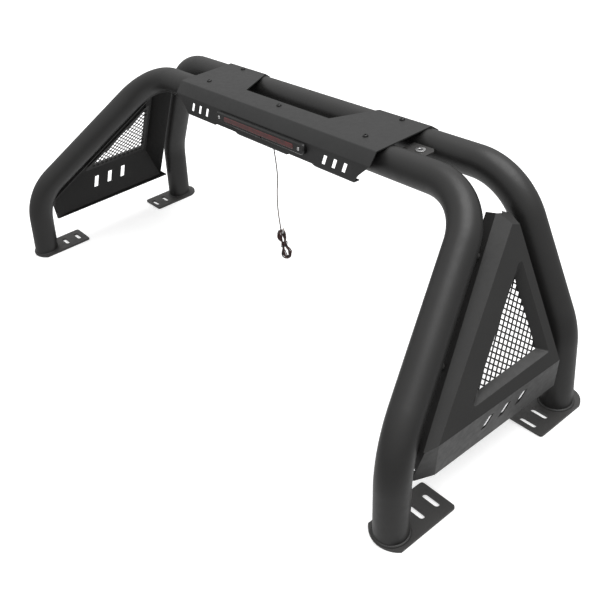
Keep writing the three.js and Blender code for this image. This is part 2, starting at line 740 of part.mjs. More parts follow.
// That leg as a plain cylinder a gap larger than the tube.
function rearLegSpace() {
  const { low, axis } = rearLeg();
  const sides = 32;
  const radius = (TUBE_RADIUS + GAP) / Math.cos(Math.PI / sides);
  const cylinder = new THREE.CylinderGeometry(radius, radius, 1200, sides);
  cylinder.applyQuaternion(new THREE.Quaternion().setFromUnitVectors(new THREE.Vector3(0, 1, 0), axis));
  return solid(cylinder.translate(low.x, low.y, low.z));
}

// Distance from a point, along a unit direction, to the surface of that leg.
function reachToRearLeg(start, direction) {
  const { low, axis } = rearLeg();
  const offset = start.clone().sub(low);
  const across = offset.clone().addScaledVector(axis, -offset.dot(axis));
  const heading = direction.clone().addScaledVector(axis, -direction.dot(axis));
  const a = heading.lengthSq();
  const b = across.dot(heading);
  const c = across.lengthSq() - TUBE_RADIUS ** 2;
  return (-b - Math.sqrt(b * b - a * c)) / a;
}

function panelMounts() {
  const [from, to] = rearSide();
  const normal = edgeNormal(from, to);
  const out = new THREE.Vector3(0, normal.x, normal.y);
  const turn = new THREE.Quaternion().setFromUnitVectors(new THREE.Vector3(0, 1, 0), out);
  return PANEL_MOUNTS.map(({ name, share, depth }) => {
    const [y, z] = [0, 1].map((i) => from[i] + (to[i] - from[i]) * share);
    const point = new THREE.Vector3(depth, y, z);
    const drilled = PANEL_BOLT.shank + PANEL_BOLT.clearance;
    const cutter = new THREE.CylinderGeometry(drilled, drilled, 20, 12).applyQuaternion(turn);
    cutter.translate(point.x, point.y, point.z);
    return { name, point, out, turn, gap: reachToRearLeg(point, out), hole: solid(cutter) };
  });
}

// Flat sheet of staggered diamonds, seated behind the window's border.
function meshInsert() {
  const { bevel, depth, innerCorner } = WINDOW;
  const { thickness, pitch, diamond, overlap, reach, edge, corner, firstY, firstZ } = MESH;
  const border = (spread, radius) => windowOutline(spread - bevel, radius)
    .map(([y, z]) => new THREE.Vector2(y, z));
  const shape = shapeOf(windowOutline(overlap - bevel, corner));
  const clear = border(overlap - edge, corner - edge);
  const centreLimit = border(reach, innerCorner);
  const winding = Math.sign(THREE.ShapeUtils.area(clear));
  const within = (y, z, limit) => limit.every((point, i) => {
    const run = limit[(i + 1) % limit.length].clone().sub(point);
    return winding * run.cross(new THREE.Vector2(y, z).sub(point)) >= 0;
  });
  for (let row = 0; row < MESH.rows; row += 1) {
    const z = firstZ + (row * pitch) / 2;
    for (let column = 0; column < MESH.columns; column += 1) {
      const y = firstY - column * pitch - (row % 2) * (pitch / 2);
      const hole = [[y + diamond, z], [y, z + diamond], [y - diamond, z], [y, z - diamond]];
      const fits = hole.every(([a, b]) => within(a, b, clear));
      if (fits && within(y, z, centreLimit)) shape.holes.push(new THREE.Path(shapeOf(hole).getPoints()));
    }
  }
  const geometry = extrude(shape, thickness);
  const frame = new THREE.Matrix4().makeBasis(
    new THREE.Vector3(0, 1, 0), new THREE.Vector3(0, 0, 1), new THREE.Vector3(1, 0, 0));
  frame.setPosition(-depth - 1 - GAP - thickness, 0, 0);
  return geometry.applyMatrix4(frame);
}

// Round stand-off drilled for the panel bolt, its far end shaped to the tube leg.
function standOff({ point, out, turn, gap }) {
  const { radius, bore, boreDepth } = STAND_OFF;
  const floor = Math.min(boreDepth, gap - 2);
  const length = gap + radius;
  const post = lathe([[0, floor], [bore, floor], [bore, 0], [radius, 0], [radius, length], [0, length]], 16);
  const seat = point.clone().addScaledVector(out, GAP);
  post.rotateX(-Math.PI / 2).applyQuaternion(turn).translate(seat.x, seat.y, seat.z);
  return geometryOf(solid(post).subtract(rearLegSpace()));
}

function panelBolt(length) {
  const { head, height, shank } = PANEL_BOLT;
  const hexagon = new THREE.CylinderGeometry(head, head, height, 6).translate(0, -height / 2, 0);
  const pin = new THREE.CylinderGeometry(shank, shank, length, 12).translate(0, length / 2 - 0.1, 0);
  return geometryOf(solid(hexagon).add(solid(pin)));
}

const shell = geometryOf(panelShell());
const grille = meshInsert();
const mounts = panelMounts();
for (const [side, sign] of [['left', -1], ['right', 1]]) {
  const frame = new THREE.Group();
  frame.position.set(sign * PANEL_ORIGIN[0], 0, PANEL_ORIGIN[2]);
  frame.rotation.y = THREE.MathUtils.degToRad(-sign * PANEL_TILT);
  rack.add(frame);
  const sided = (geometry) => (sign > 0 ? geometry : mirroredX(geometry));
  add(`side_panel_${side}`, sided(shell), PAINT, frame);
  add(`mesh_insert_${side}`, sided(grille), PAINT, frame);
  for (const mount of mounts) {
    const { name, point, out, turn, gap } = mount;
    add(`panel_standoff_${name}_${side}`, sided(standOff(mount)), PLATE_PAINT, frame);
    const head = point.clone().addScaledVector(out, -PANEL_SHEET - GAP);
    const reach = Math.min(STAND_OFF.boreDepth, gap - 2) - 1 + PANEL_SHEET;
    const bolt = panelBolt(reach).applyQuaternion(turn).translate(head.x, head.y, head.z);
    add(`panel_bolt_${name}_${side}`, sided(bolt), BLACK_STEEL, frame);
  }
}

// ---------------------------------------------------------------- brake light

// The light's own frame sits on the cover's face: X along it, -Y outward, Z up.
const light = new THREE.Group();
light.position.set(0, faceY(LIGHT.z), LIGHT.z);
light.rotation.x = -faceSlope;
rack.add(light);

// Body standing out from y towards -Y by a depth, its front edge bevelled.
function facing(shape, depth, y, bevel = 0) {
  const options = bevel > 0
    ? { bevelEnabled: true, bevelThickness: bevel, bevelSize: bevel, bevelOffset: -bevel, bevelSegments: 1 }
    : {};
  const geometry = extrude(shape, depth - bevel, { curveSegments: 6, ...options });
  const body = solid(geometry.rotateX(Math.PI / 2).translate(0, y, 0));
  return bevel > 0 ? body.subtract(solid(box(900, 40, 90, 0, y + 20, 0))) : body;
}

function lightDrill(radius, x, z) {
  return solid(new THREE.CylinderGeometry(radius, radius, 60, 12).translate(x, 0, z));
}

const HOUSING_BACK = -GASKET - 2 * GAP;
const HOUSING_FLOOR = 3;
const BOARD_THICKNESS = 1.6;
const BOARD_BACK = HOUSING_BACK - HOUSING_FLOOR - GAP;
const LENS_BACK = BOARD_BACK - BOARD_THICKNESS - 1.2;
const LENS_DEPTH = LIGHT.depth - HOUSING_BACK + LENS_BACK + 1.3;
const gasketGland = [GLAND_X, GLAND_Z - LIGHT.z];

function lightHousing() {
  let housing = facing(obround(LIGHT.halfLength * 2, LIGHT.height), LIGHT.depth, HOUSING_BACK, 3);
  const pocket = obround(LIGHT.lensHalf * 2 + 1, LIGHT.lensHeight + 0.8);
  housing = housing.subtract(facing(pocket, 30, HOUSING_BACK - HOUSING_FLOOR));
  for (const side of [-1, 1]) housing = housing.subtract(lightDrill(SCREW_HOLE, side * LIGHT.screwX, 0));
  return geometryOf(housing.subtract(lightDrill(CORD_RADIUS + 0.9, ...gasketGland)));
}

function lightGasket() {
  let gasket = facing(obround(LIGHT.halfLength * 2 - 6, LIGHT.height - 5), GASKET, -GAP);
  for (const side of [-1, 1]) gasket = gasket.subtract(lightDrill(SCREW_HOLE, side * LIGHT.screwX, 0));
  return geometryOf(gasket.subtract(lightDrill(7, ...gasketGland)));
}

const lens = facing(obround(LIGHT.lensHalf * 2, LIGHT.lensHeight), LENS_DEPTH, LENS_BACK, 1.5);
const board = facing(obround(LIGHT.lensHalf * 2 - 8, LIGHT.lensHeight - 3.2), BOARD_THICKNESS, BOARD_BACK);
add('light_gasket', lightGasket(), RUBBER, light);
add('light_housing', lightHousing(), BLACK_PLASTIC, light);
add('light_board', geometryOf(board), BOARD, light);
add('light_lens', geometryOf(lens), RED_LENS, light);
for (const [side, sign] of [['left', -1], ['right', 1]]) {
  const { shank, head, length, height } = SCREW;
  const screw = lathe([
    [0, -length], [shank, -length], [shank, 0], [head, 0],
    [head, height * 0.3], [head * 0.74, height * 0.8], [0, height],
  ], 14);
  screw.rotateX(Math.PI / 2);
  screw.translate(sign * LIGHT.screwX, HOUSING_BACK - LIGHT.depth - GAP, 0);
  add(`light_screw_${side}`, screw, ZINC, light);
}

// Plug in the cover's sheet; the light's wires and the lead meet in it.
const gland = lathe([
  [0, -SHEET - GLAND.tail], [GLAND.tip, -SHEET - GLAND.tail], [GLAND.stem, -SHEET - GLAND.stemTop],
  [GLAND.barb, -SHEET - GLAND.barbEnd], [GLAND.barb, -SHEET - GAP], [GLAND.neck, -SHEET - GAP],
  [GLAND.neck, GLAND.proud], [0, GLAND.proud],
], 16);
gland.rotateX(Math.PI / 2);
add('cable_gland', gland.translate(GLAND_X, 0, GLAND_Z - LIGHT.z), RUBBER, light);

// ---------------------------------------------------------------- lead, hank and its pieces

function leadTube() {
  const points = LEAD_ROUTE.map((point) => new THREE.Vector3(...point));
  const path = new THREE.CatmullRomCurve3(points, false, 'centripetal');
  const section = shapeOf(circleShape(CORD_RADIUS, 8));
  return new THREE.ExtrudeGeometry(section, { steps: LEAD_STEPS, extrudePath: path });
}

// Half-width of the hank's loops at a height from its waist.
function loopHalfWidth(z) {
  const lobe = z > 0 ? HANK.upperLobe : HANK.lowerLobe;
  const straight = HANK.half - lobe;
  const rise = Math.min(Math.abs(z) / straight, 1);
  const above = Math.max(Math.abs(z) - straight, 0);
  if (above > 0) return Math.sqrt(Math.max(lobe ** 2 - above ** 2, 0));
  return HANK.waist + (lobe - HANK.waist) * 0.5 * (1 - Math.cos(Math.PI * rise));
}

function hankBody() {
  const right = [];
  const steps = 26;
  for (let i = 0; i <= steps; i += 1) {
    const z = -HANK.half * Math.cos((Math.PI * i) / steps);
    right.push([loopHalfWidth(z) + HANK_SKIN, z * (1 + HANK_SKIN / HANK.half)]);
  }
  const left = right.map(([x, z]) => [-x, z]).reverse();
  return alongY([...right, ...left], -HANK_HALF_DEPTH, HANK_HALF_DEPTH);
}

// Wire tie around the waist of the hank.
function tieRing() {
  const innerY = HANK_HALF_DEPTH + GAP;
  const rectangle = (x, y) => [[-x, -y], [x, -y], [x, y], [-x, y]];
  const ring = shapeOf(rectangle(TIE.innerX + TIE.wall, innerY + TIE.wall));
  ring.holes.push(new THREE.Path(shapeOf(rectangle(TIE.innerX, innerY)).getPoints()));
  return extrude(ring, TIE.height).translate(0, 0, -TIE.height / 2);
}

function endSleeve() {
  const { x, y, z, radius, length, tipRadius, tip } = SLEEVE;
  const profile = [
    [0, 0], [radius, 0], [radius, length], [tipRadius, length + 1.5],
    [tipRadius, length + tip], [0, length + tip],
  ];
  return lathe(profile, 12).translate(x, y, z);
}

const hank = new THREE.Group();
hank.position.set(...HANK_CENTRE);
hank.rotation.set(0, THREE.MathUtils.degToRad(HANK_LEAN), THREE.MathUtils.degToRad(HANK_TURN), 'ZYX');
rack.add(hank);
add('light_lead', leadTube(), WIRE);
add('lead_hank', hankBody(), WIRE, hank);
add('lead_tie', tieRing(), BLACK_PLASTIC, hank);
add('lead_end_sleeve', endSleeve(), WHITE_NYLON, hank);

export default rack;
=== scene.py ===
# Looks of a twin-hoop headache rack: powder-coated tube, folded sheet, brake light and its tied-up lead.
# Sizes are in millimetres where a name says _MM or a value is passed through mm(); Blender's own are metres.
import math

import bmesh
import bpy
from mathutils import Matrix, Vector
from mathutils.noise import noise as smooth_noise


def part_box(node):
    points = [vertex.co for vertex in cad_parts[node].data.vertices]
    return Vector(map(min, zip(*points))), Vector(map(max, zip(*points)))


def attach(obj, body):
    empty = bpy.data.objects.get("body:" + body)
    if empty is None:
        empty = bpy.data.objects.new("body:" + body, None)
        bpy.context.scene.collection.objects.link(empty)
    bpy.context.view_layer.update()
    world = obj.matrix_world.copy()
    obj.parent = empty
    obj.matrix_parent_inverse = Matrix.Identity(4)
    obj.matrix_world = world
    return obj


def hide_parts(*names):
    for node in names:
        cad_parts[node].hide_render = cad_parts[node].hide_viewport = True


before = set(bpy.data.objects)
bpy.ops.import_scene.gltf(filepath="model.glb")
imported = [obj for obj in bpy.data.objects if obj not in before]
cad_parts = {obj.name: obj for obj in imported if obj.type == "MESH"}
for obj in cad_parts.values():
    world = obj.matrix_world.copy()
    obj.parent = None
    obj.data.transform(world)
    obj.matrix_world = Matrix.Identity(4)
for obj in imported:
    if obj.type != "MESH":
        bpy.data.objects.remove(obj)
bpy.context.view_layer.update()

BODY = "root"
SHIFT_Y = 229.6  # the rack's middle between its top tubes, in the CAD frame


def mm(*values):
    """Millimetres to metres: one number, or a point."""
    return values[0] / 1000 if len(values) == 1 else Vector(values) / 1000


def rack_point(x, y, z):
    """A point measured from the middle between the top tubes, in the CAD frame."""
    return mm(x, y + SHIFT_Y, z)


# ---------------------------------------------------------------- camera

CAMERA_PLACE = (1.604387, -0.983881, 1.29949)
CAMERA_FORWARD = Vector((-0.67243572, 0.47850934, -0.56467603))
CAMERA_UP = Vector((-0.38422548, 0.42639342, 0.81887693))
CAMERA_LENS = 46.631
SENSOR_WIDTH = 36
CLIP_START = 0.05
CLIP_END = 60


def make_camera():
    data = bpy.data.cameras.new("camera")
    data.sensor_width = SENSOR_WIDTH
    data.lens = CAMERA_LENS
    data.clip_start = CLIP_START
    data.clip_end = CLIP_END
    camera = bpy.data.objects.new("camera", data)
    bpy.context.scene.collection.objects.link(camera)
    right = CAMERA_FORWARD.cross(CAMERA_UP).normalized()
    up = right.cross(CAMERA_FORWARD).normalized()
    turn = Matrix((right, up, -CAMERA_FORWARD.normalized())).transposed()
    camera.matrix_world = Matrix.Translation(CAMERA_PLACE) @ turn.to_4x4()
    bpy.context.scene.camera = camera


make_camera()

# ---------------------------------------------------------------- the lead, from the gland to its end sleeve

CORD_DIAMETER_MM = 3.2

# The hanging stretch, point by point from the gland down to the hank.
LEAD_ROUTE = [
    (16, -121.9, 511.2), (16.2, -116, 509.6), (16.8, -111.2, 505), (17.4, -109.2, 498),
    (18.2, -108.6, 485), (19.2, -108.4, 466), (20.2, -108.2, 438), (19.8, -108, 410),
    (17.6, -107.8, 384), (12.4, -107.6, 362), (6.6, -107.2, 341), (1.6, -106.7, 315),
    (-2.7, -106, 286), (-4.9, -105, 253), (-6.1, -103.6, 230), (-7, -102.6, 217.4),
]
HANK_CENTRE = (3, -104.2, 167.8)
HANK_TURN = math.radians(50)
HANK_LEAN = math.radians(-7.6)
HANK_HALF = 47
HANK_UPPER_LOBE = 11.6
HANK_LOWER_LOBE = 13.0
HANK_WAIST = 4.6
HANK_TURNS = 5.85
HANK_START = 0.36  # in turns; the winding ends above the tie, so the tail stays inside it
HANK_END = HANK_TURNS - 0.03
HANK_SWAY = 3.4  # how far a fold leans to one side
HANK_STAGGER = 4.5  # how much shorter the shortest folds are
HANK_FAN = math.radians(64)  # how far a fold turns about the upright
HANK_BACK_Y = 8.75
HANK_FRONT_Y = -8.75
POINTS_PER_TURN = 48
SLEEVE_X = 10.9
SLEEVE_Z = 47

HANK_FRAME = (
    Matrix.Translation(rack_point(*HANK_CENTRE))
    @ Matrix.Rotation(HANK_TURN, 4, "Z")
    @ Matrix.Rotation(HANK_LEAN, 4, "Y")
)


def smooth_route(points, steps):
    """Centripetal Catmull-Rom line through the points, steps to a stretch."""
    ends = [points[0] * 2 - points[1], *points, points[-1] * 2 - points[-2]]
    line = []
    for a, b, c, d in zip(ends, ends[1:], ends[2:], ends[3:]):
        times = [0.0]
        for p, q in ((a, b), (b, c), (c, d)):
            times.append(times[-1] + math.sqrt((q - p).length))
        for k in range(steps):
            t = times[1] + (times[2] - times[1]) * k / steps

            def between(p, q, i, j):
                return p.lerp(q, (t - times[i]) / (times[j] - times[i]))

            first = between(a, b, 0, 1)
            middle = between(b, c, 1, 2)
            last = between(c, d, 2, 3)
            first = between(first, middle, 0, 2)
            last = between(middle, last, 1, 3)
            line.append(between(first, last, 1, 2))
    line.append(points[-1])
    return line


def hank_half_width(z, half, lobe, waist):
    """Half the width of one loop at a height from the tie."""
    straight = half - lobe
    above = max(abs(z) - straight, 0)
    if above > 0:
        return math.sqrt(max(lobe**2 - above**2, 0))
    rise = min(abs(z) / straight, 1)
    return waist + (lobe - waist) * 0.5 * (1 - math.cos(math.pi * rise))


def hank_point(turns):
    """A point of the winding, in turns after the top of its first loop.

    Each fold leans and fans out its own way.
    """
    angle = 2 * math.pi * turns
    fold = round(2 * turns)  # even at the top, odd at the bottom
    # The uneven multipliers of fold only keep one fold from repeating another.
    lobe = HANK_UPPER_LOBE if fold % 2 == 0 else HANK_LOWER_LOBE
    lobe *= 0.95 + 0.05 * math.cos(2.1 * fold)
    half = HANK_HALF - HANK_STAGGER * (0.5 + 0.5 * math.sin(1.3 * fold))
    z = half * math.cos(angle)
    away = 0.5 * (1 - math.cos(math.pi * min(abs(z) / (half - lobe), 1)))
    side = -1 if angle % (2 * math.pi) < math.pi else 1
    waist = HANK_WAIST * (0.62 + 0.38 * math.cos(2.9 * turns + 1.0))
    out = side * hank_half_width(z, half, lobe, waist)
    fan = HANK_FAN * math.sin(2.4 * fold + 0.5) * away
    sway = HANK_SWAY * math.sin(1.7 * fold + 1.0) * away
    depth = HANK_BACK_Y + (HANK_FRONT_Y - HANK_BACK_Y) * turns / HANK_TURNS
    return Vector((out * math.cos(fan) + sway, depth * (1 - 0.4 * away) + out * math.sin(fan), z))


def lead_points():
    """The whole lead in metres: the hanging stretch, the wound loops, and the tail into its sleeve."""
    hanging = smooth_route([rack_point(*point) for point in LEAD_ROUTE], 4)
    count = int((HANK_END - HANK_START) * POINTS_PER_TURN)
    wound = [hank_point(HANK_START + (HANK_END - HANK_START) * i / count) for i in range(count + 1)]
    tail = [Vector((SLEEVE_X, HANK_FRONT_Y, z)) for z in (SLEEVE_Z - 4, SLEEVE_Z + 3)]
    into = HANK_FRAME.inverted() @ hanging[-1] * 1000
    joining = smooth_route([into + Vector((0.2, 0.1, 8)), into, wound[0], wound[1]], 10)[10:20]
    leaving = smooth_route([wound[-2], wound[-1], *tail], 8)[9:]
    local = [*joining[1:], *wound, *leaving]
    return hanging + [HANK_FRAME @ (point / 1000) for point in local]


def make_lead():
    line = lead_points()
    curve = bpy.data.curves.new("brake_light_lead", "CURVE")
    curve.dimensions = "3D"
    curve.bevel_depth = 1  # times each point's radius, so the curve's own box is its real one
    curve.bevel_resolution = 4
    curve.use_fill_caps = True
    spline = curve.splines.new("POLY")
    spline.points.add(len(line) - 1)
    for point, place in zip(spline.points, line):
        point.co = (*place, 1)
        point.radius = mm(CORD_DIAMETER_MM / 2)
    lead = bpy.data.objects.new("brake_light_lead", curve)
    bpy.context.scene.collection.objects.link(lead)
    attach(lead, BODY)
    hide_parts("light_lead", "lead_hank")
    return lead


lead = make_lead()

# ---------------------------------------------------------------- materials


class Surface:
    """A material's node tree, with short ways to add nodes and join them."""

    def __init__(self, name):
        self.material = bpy.data.materials.new(name)
        self.material.use_nodes = True
        self.nodes = self.material.node_tree.nodes
        self.links = self.material.node_tree.links
        self.shader = self.nodes["Principled BSDF"]
        self.place = self.nodes.new("ShaderNodeTexCoord").outputs["Object"]

    def join(self, source, target):
        self.links.new(source, target)

    def noise(self, scale, detail=3.0, roughness=0.5, stretch=(1, 1, 1)):
        mapping = self.nodes.new("ShaderNodeMapping")
        mapping.inputs["Scale"].default_value = stretch
        self.join(self.place, mapping.inputs["Vector"])
        node = self.nodes.new("ShaderNodeTexNoise")
        node.inputs["Scale"].default_value = scale
        node.inputs["Detail"].default_value = detail
        node.inputs["Roughness"].default_value = roughness
        self.join(mapping.outputs["Vector"], node.inputs["Vector"])
        return node.outputs["Fac"]

    def cells(self, scale):
        node = self.nodes.new("ShaderNodeTexVoronoi")
        node.inputs["Scale"].default_value = scale
        self.join(self.place, node.inputs["Vector"])
        return node.outputs["Distance"]

    def ramp(self, source, low, high, start=0.3, end=0.7):
        node = self.nodes.new("ShaderNodeValToRGB")
        for element, colour, position in zip(node.color_ramp.elements, (low, high), (start, end)):
            element.color = (*colour, 1)
            element.position = position
        self.join(source, node.inputs["Fac"])
        return node.outputs["Color"]

    def spread(self, source, low, high, start=0.3, end=0.7):
        node = self.nodes.new("ShaderNodeMapRange")
        for key, value in zip(("From Min", "From Max", "To Min", "To Max"), (start, end, low, high)):
            node.inputs[key].default_value = value
        self.join(source, node.inputs["Value"])
        return node.outputs["Result"]

    def mixed(self, first, second, share):
        node = self.nodes.new("ShaderNodeMix")
        node.data_type = "RGBA"
        node.inputs["Factor"].default_value = share
        self.join(first, node.inputs["A"])
        self.join(second, node.inputs["B"])
        return node.outputs["Result"]

    def bump(self, height, strength, distance, under=None):
        node = self.nodes.new("ShaderNodeBump")
        node.inputs["Strength"].default_value = strength
        node.inputs["Distance"].default_value = distance
        self.join(height, node.inputs["Height"])
        if under is not None:
            self.join(under, node.inputs["Normal"])
        return node.outputs["Normal"]

    def finish(self, colour=None, roughness=None, normal=None, **uniform):
        for key, source in (("Base Color", colour), ("Roughness", roughness), ("Normal", normal)):
            if source is not None:
                self.join(source, self.shader.inputs[key])
        for key, value in uniform.items():
            self.shader.inputs[key.replace("_", " ")].default_value = value
        return self.material


def powder_coat(name, dark, light, gloss, grain):
    """Textured powder coat: fine pimples over a slow orange-peel wave, faintly mottled in colour."""
    s = Surface(name)
    mottle = s.noise(14, detail=3)
    speckle = s.noise(1100, detail=2)
    colour = s.mixed(s.ramp(mottle, dark, light), s.ramp(speckle, dark, light, 0.42, 0.62), 0.6)
    roughness = s.spread(s.noise(70, detail=4), *gloss)
    wave = s.bump(s.noise(260, detail=2), 0.25, 0.0002)
    normal = s.bump(s.noise(1350, detail=2.5, roughness=0.6), grain, 0.00016, wave)
    return s.finish(colour, roughness, normal, Specular_IOR_Level=0.5)


def brushed_metal(name, dark, light, gloss, scale, stretch=(1, 1, 1)):
    """Plated or bare metal with fine scratches and a cloudy sheen."""
    s = Surface(name)
    colour = s.ramp(s.noise(scale, detail=5, stretch=stretch), dark, light)
    roughness = s.spread(s.noise(scale * 2.2, detail=4, stretch=stretch), *gloss)
    normal = s.bump(s.noise(scale * 4, detail=3, stretch=stretch), 0.2, 0.0001)
    return s.finish(colour, roughness, normal, Metallic=1.0)


def moulded(name, dark, light, gloss, scale=900, grain=0.1, **uniform):
    """Moulded plastic or rubber with a fine skin."""
    s = Surface(name)
    colour = s.ramp(s.noise(60, detail=4), dark, light)
    roughness = s.spread(s.noise(110, detail=4), *gloss)
    normal = s.bump(s.noise(scale, detail=2), grain, 0.0001)
    return s.finish(colour, roughness, normal, **uniform)


def grey(value, warm=0.0):
    return (value * (1 + warm), value, value * (1 - warm))


def lead_jacket():
    """Two-core flat wire seen as black with a dark red core showing through in long streaks."""
    s = Surface("wire_jacket")
    streak = s.noise(90, detail=2, stretch=(1, 1, 0.12))
    colour = s.ramp(streak, grey(0.016, 0.15), (0.075, 0.022, 0.019), 0.36, 0.54)
    roughness = s.spread(s.noise(300, detail=3), 0.3, 0.5)
    normal = s.bump(s.noise(1200, detail=2), 0.1, 0.0001)
    return s.finish(colour, roughness, normal)


def lens_red():
    """Deep red acrylic, a little cloudy, its optics a soft ripple along the strip."""
    s = Surface("lens_red")
    colour = s.ramp(s.noise(45, detail=3, stretch=(1, 3, 3)), (0.06, 0.002, 0.002), (0.13, 0.005, 0.005))
    roughness = s.spread(s.noise(140, detail=3), 0.1, 0.22)
    normal = s.bump(s.noise(320, detail=1, stretch=(1, 0.2, 0.2)), 0.15, 0.0002)
    return s.finish(colour, roughness, normal, Coat_Weight=0.6, Coat_Roughness=0.08)


def circuit_board():
    s = Surface("board_green")
    colour = s.ramp(s.cells(260), (0.01, 0.06, 0.02), (0.03, 0.16, 0.06), 0.1, 0.6)
    roughness = s.spread(s.noise(200), 0.35, 0.6)
    return s.finish(colour, roughness, s.bump(s.cells(420), 0.2, 0.0002))


FRAME_PAINT = powder_coat("frame_powder_coat", grey(0.015, 0.02), grey(0.021, 0.02), (0.38, 0.46), 0.3)
COVER_PAINT = powder_coat("cover_powder_coat", grey(0.02), grey(0.028), (0.48, 0.58), 0.4)
PANEL_PAINT = powder_coat("panel_powder_coat", grey(0.016, 0.02), grey(0.022, 0.02), (0.44, 0.54), 0.4)
PLATE_PAINT = powder_coat("plate_powder_coat", grey(0.03, 0.03), grey(0.044, 0.03), (0.46, 0.58), 0.45)
BLACK_STEEL = brushed_metal("black_oxide_steel", grey(0.03), grey(0.07), (0.3, 0.45), 240)
ZINC = brushed_metal("bright_zinc", grey(0.5), grey(0.72), (0.2, 0.36), 180)
HOUSING_PLASTIC = moulded("housing_plastic", grey(0.008), grey(0.014), (0.14, 0.26))
TIE_PLASTIC = moulded("tie_plastic", grey(0.006), grey(0.012), (0.35, 0.5))
RUBBER = moulded("rubber", grey(0.012), grey(0.022), (0.7, 0.85), 600, 0.25)
NYLON = moulded("white_nylon", grey(0.62, 0.02), grey(0.78, 0.01), (0.35, 0.5), Subsurface_Weight=0.1)
LENS_RED = lens_red()
BOARD = circuit_board()
WIRE = lead_jacket()
lead.data.materials.append(WIRE)

# ---------------------------------------------------------------- helpers for pieces


def piece(name, bm, material, replaces=(), smooth=math.radians(32)):
    """A mesh piece that rides on the rack, with its finish, and the CAD nodes that it stands for."""
    bmesh.ops.recalc_face_normals(bm, faces=bm.faces)
    data = bpy.data.meshes.new(name)
    bm.to_mesh(data)
    bm.free()
    data.shade_smooth()
    data.set_sharp_from_angle(angle=smooth)
    made = bpy.data.objects.new(name, data)
    bpy.context.scene.collection.objects.link(made)
    data.materials.append(material)
    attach(made, BODY)
    if replaces:
        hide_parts(*replaces)
    return made


FLAT_WITHIN = math.radians(0.6)  # facets closer than this to one plane are joined up


def refined(node, material, bevel, segments=2, angle=28):
    """The CAD node's own shape with its flat facets joined up and its edges rounded."""
    bm = bmesh.new()
    bm.from_mesh(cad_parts[node].data)
    bmesh.ops.remove_doubles(bm, verts=bm.verts, dist=1e-6)
    bmesh.ops.dissolve_limit(bm, angle_limit=FLAT_WITHIN, verts=bm.verts, edges=bm.edges)
    made = piece(f"{node}_finished", bm, material, [node])
    rounding = made.modifiers.new("edge_rounding", "BEVEL")
    rounding.width = mm(bevel)
    rounding.segments = segments
    rounding.limit_method = "ANGLE"
    rounding.angle_limit = math.radians(angle)
    rounding.use_clamp_overlap = True
    rounding.harden_normals = True
    return made


def ring(bm, points):
    return [bm.verts.new(point) for point in points]


def bridge(bm, first, second):
    """Faces between two rings of the same number of points."""
    count = len(first)
    for i in range(count):
        j = (i + 1) % count
        bm.faces.new((first[i], first[j], second[j], second[i]))


def turned(name, profile, place, turn, material, replaces=(), sides=40, socket=None):
    """A turned piece from a profile of (radius, height).

    The rings that socket lists are drawn as hexagons.
    """
    bm = bmesh.new()
    rings = []
    for index, (radius, height) in enumerate(profile):
        points = []
        for k in range(sides):
            angle = 2 * math.pi * k / sides
            reach = radius
            if socket and index in socket:
                sector = (angle + math.pi / 6) % (math.pi / 3) - math.pi / 6
                reach = radius * math.cos(math.pi / 6) / math.cos(sector)
            points.append(mm(reach * math.cos(angle), reach * math.sin(angle), height))
        rings.append(ring(bm, points))
    for first, second in zip(rings, rings[1:]):
        bridge(bm, first, second)
    if profile[0] == profile[-1]:
        bmesh.ops.remove_doubles(bm, verts=bm.verts, dist=1e-7)
    else:
        bm.faces.new(rings[0])
        bm.faces.new(rings[-1])
    bm.transform(Matrix.Translation(place) @ turn.to_matrix().to_4x4())
    return piece(name, bm, material, replaces)


UPRIGHT = Vector((0, 0, 1)).to_track_quat("Z", "Y")

# ---------------------------------------------------------------- hoops

TUBE_RADIUS = 38.1
TUBE_WALL = 2.5
UPPER_BEND = 166
LOWER_BEND = 190
PLATE_TOP = 7
GAP = 0.3  # clearance between touching pieces
HOOPS = {
    "rear": [(842, -519, 0), (835, -494.5, 205.5), (665.5, -61, 528.6)],
    "front": [(842, 29, 0), (828, 41.5, 206), (666, 61, 528.6)],
}
TUBE_SIDES = 72
DEGREES_PER_RING = 2.0


def bent_line(corners, radii):
    """Places and directions along a line of straight runs joined by true arcs."""
    places = [corners[0]]
    directions = [(corners[1] - corners[0]).normalized()]
    for before, corner, after, radius in zip(corners, corners[1:], corners[2:], radii):
        back = (before - corner).normalized()
        ahead = (after - corner).normalized()
        sweep = math.pi - back.angle(ahead)
        centre = corner + (back + ahead).normalized() * (radius / math.cos(sweep / 2))
        spoke = corner + back * (radius * math.tan(sweep / 2)) - centre
        axis = (-back).cross(ahead).normalized()
        count = math.ceil(math.degrees(sweep) / DEGREES_PER_RING)
        for k in range(count + 1):
            turn = Matrix.Rotation(sweep * k / count, 3, axis)
            places.append(turn @ spoke + centre)
            directions.append(turn @ -back)
    places.append(corners[-1])
    directions.append((corners[-1] - corners[-2]).normalized())
    return places, directions


def tube_rings(bm, places, directions, radius, floor):
    """Rings round the line without twist, the first and last slid along it onto the floor."""
    side = directions[0].orthogonal().normalized()
    rings = []
    for index, (place, direction) in enumerate(zip(places, directions)):
        side = (side - direction * side.dot(direction)).normalized()
        other = direction.cross(side)
        points = []
        for k in range(TUBE_SIDES):
            angle = 2 * math.pi * k / TUBE_SIDES
            point = place + (side * math.cos(angle) + other * math.sin(angle)) * radius
            if index in (0, len(places) - 1):
                point += direction * ((floor - point.z) / direction.z)
            points.append(point)
        rings.append(ring(bm, points))
    return rings


